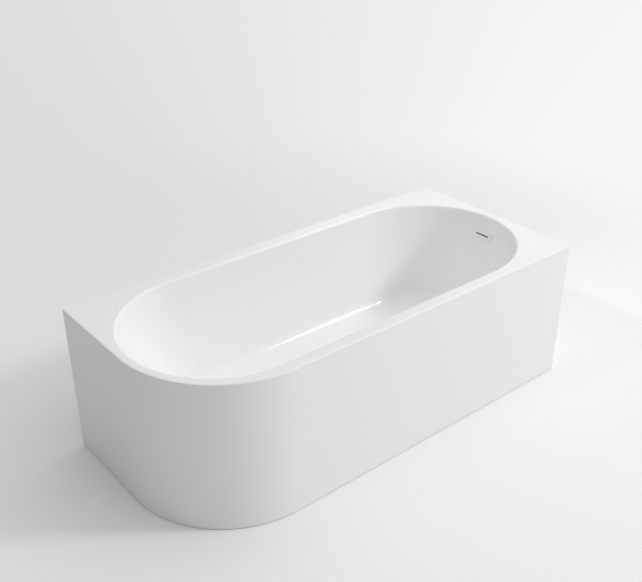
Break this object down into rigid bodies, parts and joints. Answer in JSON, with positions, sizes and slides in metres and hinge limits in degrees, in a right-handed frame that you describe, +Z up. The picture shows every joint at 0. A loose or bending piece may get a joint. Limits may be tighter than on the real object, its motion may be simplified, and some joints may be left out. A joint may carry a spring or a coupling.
{
  "type": "bathtub",
  "caption": "Back-to-wall bath with one large curved corner, an oval leaning bowl, slot overflow, click waste, low trap and a steel frame on levelling feet.",
  "frame": {"origin": "on the floor, at the centre of the bath's bounding box", "axes": "+Z up, +X along the bath towards the square end with the overflow, +Y towards the wall, -Y is the front"},
  "size_m": [1.7, 0.766, 0.557],
  "materials": {
    "acrylic": "glossy white acrylic, satin on the deck",
    "batten_timber": "sawn softwood",
    "board": "particle board sealed with resin",
    "frame_steel": "black powder coat",
    "zinc_steel": "bright zinc plate",
    "black_plastic": "moulded, fine texture",
    "chrome": "polished chrome plate",
    "brass": "turned brass",
    "rubber": "black rubber",
    "white_plastic": "moulded polypropylene",
    "cover_white": "glossy white moulding"
  },
  "bodies": {
    "root": {"tub_shell": "acrylic", "outer_skirt": "acrylic", "batten_front": "batten_timber", "batten_curve": "batten_timber", "batten_left": "batten_timber", "batten_right": "batten_timber", "base_board": "board", "base_board_screws": "zinc_steel", "board_tabs": "frame_steel", "rail_front": "frame_steel", "rail_rear": "frame_steel", "crossbar_left": "frame_steel", "crossbar_middle": "frame_steel", "crossbar_right": "frame_steel", "rail_end_caps": "black_plastic", "crossbar_end_caps": "black_plastic", "crossbar_bolts": "zinc_steel", "angle_brackets": "zinc_steel", "bracket_screws": "zinc_steel", "stud_nuts": "zinc_steel", "wall_bracket_left": "zinc_steel", "wall_bracket_right": "zinc_steel", "waste_flange": "chrome", "plug_cartridge": "brass", "waste_gasket": "rubber", "waste_tee": "white_plastic", "overflow_cover": "cover_white", "overflow_gasket": "rubber", "overflow_chamber": "white_plastic", "overflow_pipe": "white_plastic", "pipe_clips": "zinc_steel", "trap_nut": "white_plastic", "trap_seal": "rubber", "trap_body": "white_plastic", "trap_cap": "white_plastic"},
    "foot_pad_left_front": {"foot_pad_left_front": "black_plastic"},
    "foot_stud_left_front": {"foot_stud_left_front": "zinc_steel"},
    "foot_pad_left_rear": {"foot_pad_left_rear": "black_plastic"},
    "foot_stud_left_rear": {"foot_stud_left_rear": "zinc_steel"},
    "foot_pad_middle_front": {"foot_pad_middle_front": "black_plastic"},
    "foot_stud_middle_front": {"foot_stud_middle_front": "zinc_steel"},
    "foot_pad_middle_rear": {"foot_pad_middle_rear": "black_plastic"},
    "foot_stud_middle_rear": {"foot_stud_middle_rear": "zinc_steel"},
    "foot_pad_right_front": {"foot_pad_right_front": "black_plastic"},
    "foot_stud_right_front": {"foot_stud_right_front": "zinc_steel"},
    "foot_pad_right_rear": {"foot_pad_right_rear": "black_plastic"},
    "foot_stud_right_rear": {"foot_stud_right_rear": "zinc_steel"},
    "plug": {"waste_plug": "chrome", "plug_seal": "rubber"}
  },
  "joints": [
    {"name": "foot_height_left_front", "type": "slide", "parent": "root", "child": "foot_pad_left_front", "axis": [0, 0, 1], "range_m": [-0.01, 0.02]},
    {"name": "stud_turn_left_front", "type": "hinge", "parent": "foot_pad_left_front", "child": "foot_stud_left_front", "pos_m": [-0.435, -0.303, 0.06], "axis": [0, 0, 1], "range_deg": [-2060, 4120]},
    {"name": "foot_height_left_rear", "type": "slide", "parent": "root", "child": "foot_pad_left_rear", "axis": [0, 0, 1], "range_m": [-0.01, 0.02]},
    {"name": "stud_turn_left_rear", "type": "hinge", "parent": "foot_pad_left_rear", "child": "foot_stud_left_rear", "pos_m": [-0.435, 0.297, 0.06], "axis": [0, 0, 1], "range_deg": [-2060, 4120]},
    {"name": "foot_height_middle_front", "type": "slide", "parent": "root", "child": "foot_pad_middle_front", "axis": [0, 0, 1], "range_m": [-0.01, 0.02]},
    {"name": "stud_turn_middle_front", "type": "hinge", "parent": "foot_pad_middle_front", "child": "foot_stud_middle_front", "pos_m": [0.1635, -0.303, 0.06], "axis": [0, 0, 1], "range_deg": [-2060, 4120]},
    {"name": "foot_height_middle_rear", "type": "slide", "parent": "root", "child": "foot_pad_middle_rear", "axis": [0, 0, 1], "range_m": [-0.01, 0.02]},
    {"name": "stud_turn_middle_rear", "type": "hinge", "parent": "foot_pad_middle_rear", "child": "foot_stud_middle_rear", "pos_m": [0.1635, 0.297, 0.06], "axis": [0, 0, 1], "range_deg": [-2060, 4120]},
    {"name": "foot_height_right_front", "type": "slide", "parent": "root", "child": "foot_pad_right_front", "axis": [0, 0, 1], "range_m": [-0.01, 0.02]},
    {"name": "stud_turn_right_front", "type": "hinge", "parent": "foot_pad_right_front", "child": "foot_stud_right_front", "pos_m": [0.762, -0.303, 0.06], "axis": [0, 0, 1], "range_deg": [-2060, 4120]},
    {"name": "foot_height_right_rear", "type": "slide", "parent": "root", "child": "foot_pad_right_rear", "axis": [0, 0, 1], "range_m": [-0.01, 0.02]},
    {"name": "stud_turn_right_rear", "type": "hinge", "parent": "foot_pad_right_rear", "child": "foot_stud_right_rear", "pos_m": [0.762, 0.297, 0.06], "axis": [0, 0, 1], "range_deg": [-2060, 4120]},
    {"name": "plug_lift", "type": "slide", "parent": "root", "child": "plug", "axis": [0, 0, 1], "range_m": [0, 0.009]}
  ],
  "couplings": [
    {"joint": "stud_turn_left_front", "follows": "foot_height_left_front", "rad_per_m": 3590.4},
    {"joint": "stud_turn_left_rear", "follows": "foot_height_left_rear", "rad_per_m": 3590.4},
    {"joint": "stud_turn_middle_front", "follows": "foot_height_middle_front", "rad_per_m": 3590.4},
    {"joint": "stud_turn_middle_rear", "follows": "foot_height_middle_rear", "rad_per_m": 3590.4},
    {"joint": "stud_turn_right_front", "follows": "foot_height_right_front", "rad_per_m": 3590.4},
    {"joint": "stud_turn_right_rear", "follows": "foot_height_right_rear", "rad_per_m": 3590.4}
  ]
}
